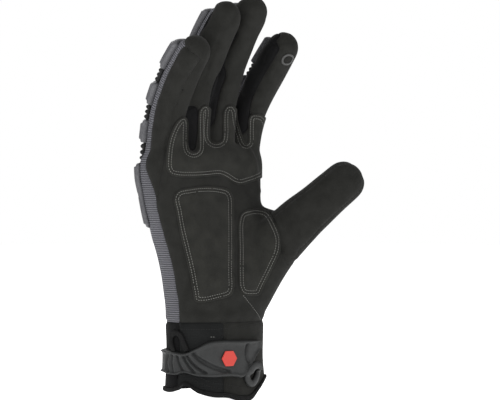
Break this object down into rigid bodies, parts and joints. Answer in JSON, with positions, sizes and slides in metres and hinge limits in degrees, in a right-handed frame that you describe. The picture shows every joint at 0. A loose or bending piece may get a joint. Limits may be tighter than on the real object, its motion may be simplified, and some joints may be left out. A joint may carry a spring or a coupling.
{
  "type": "impact glove",
  "caption": "Padded right-hand work glove with a suede palm, knit back, rubber guard plates and ribs along the fingers, and a wrist strap held in a ring.",
  "frame": {"origin": "centre of the wrist opening, at the height of the hem's lowest point", "axes": "+Z from the wrist opening to the fingertips, -Y the way the palm faces, +X towards the thumb"},
  "size_m": [0.1205, 0.0861, 0.2317],
  "materials": {
    "suede": "brushed synthetic suede",
    "suede_pad": "brushed synthetic suede over a thin pad, double stitched",
    "knit": "ribbed stretch knit",
    "cuff_cloth": "plain woven stretch cloth",
    "elastic": "smooth elastic knit",
    "tape": "woven binding tape",
    "guard_rubber": "moulded matt rubber",
    "dark_rubber": "moulded matt rubber with cross ribs",
    "strap_rubber": "moulded matt rubber with fine grooves",
    "badge": "moulded red rubber",
    "print": "raised printed ring"
  },
  "bodies": {
    "root": {"cuff_elastic": "elastic", "cuff_palm": "suede", "cuff_back": "cuff_cloth", "thumb_back": "suede", "thumb_front": "suede", "index_fourchette": "cuff_cloth", "middle_fourchette": "cuff_cloth", "ring_fourchette": "cuff_cloth", "pinky_side": "suede", "back_panel": "knit", "palm_panel": "suede", "palm_patch": "suede_pad", "heel_pad": "suede_pad", "thenar_pad": "suede_pad", "index_guard_strip": "dark_rubber", "index_guard_1": "guard_rubber", "index_guard_2": "guard_rubber", "index_guard_3": "guard_rubber", "middle_guard_strip": "dark_rubber", "middle_guard_1": "guard_rubber", "middle_guard_2": "guard_rubber", "middle_guard_3": "guard_rubber", "ring_guard_strip": "dark_rubber", "ring_guard_1": "guard_rubber", "ring_guard_2": "guard_rubber", "ring_guard_3": "guard_rubber", "pinky_guard_strip": "dark_rubber", "pinky_guard_1": "guard_rubber", "pinky_guard_2": "guard_rubber", "pinky_guard_3": "guard_rubber", "index_knuckle_plate": "guard_rubber", "middle_knuckle_plate": "guard_rubber", "ring_knuckle_plate": "guard_rubber", "pinky_knuckle_plate": "guard_rubber", "hem_band": "tape", "wrist_strap": "strap_rubber", "strap_badge": "badge", "strap_anchor": "strap_rubber", "pull_loop": "tape", "touch_ring": "print"}
  },
  "joints": []
}
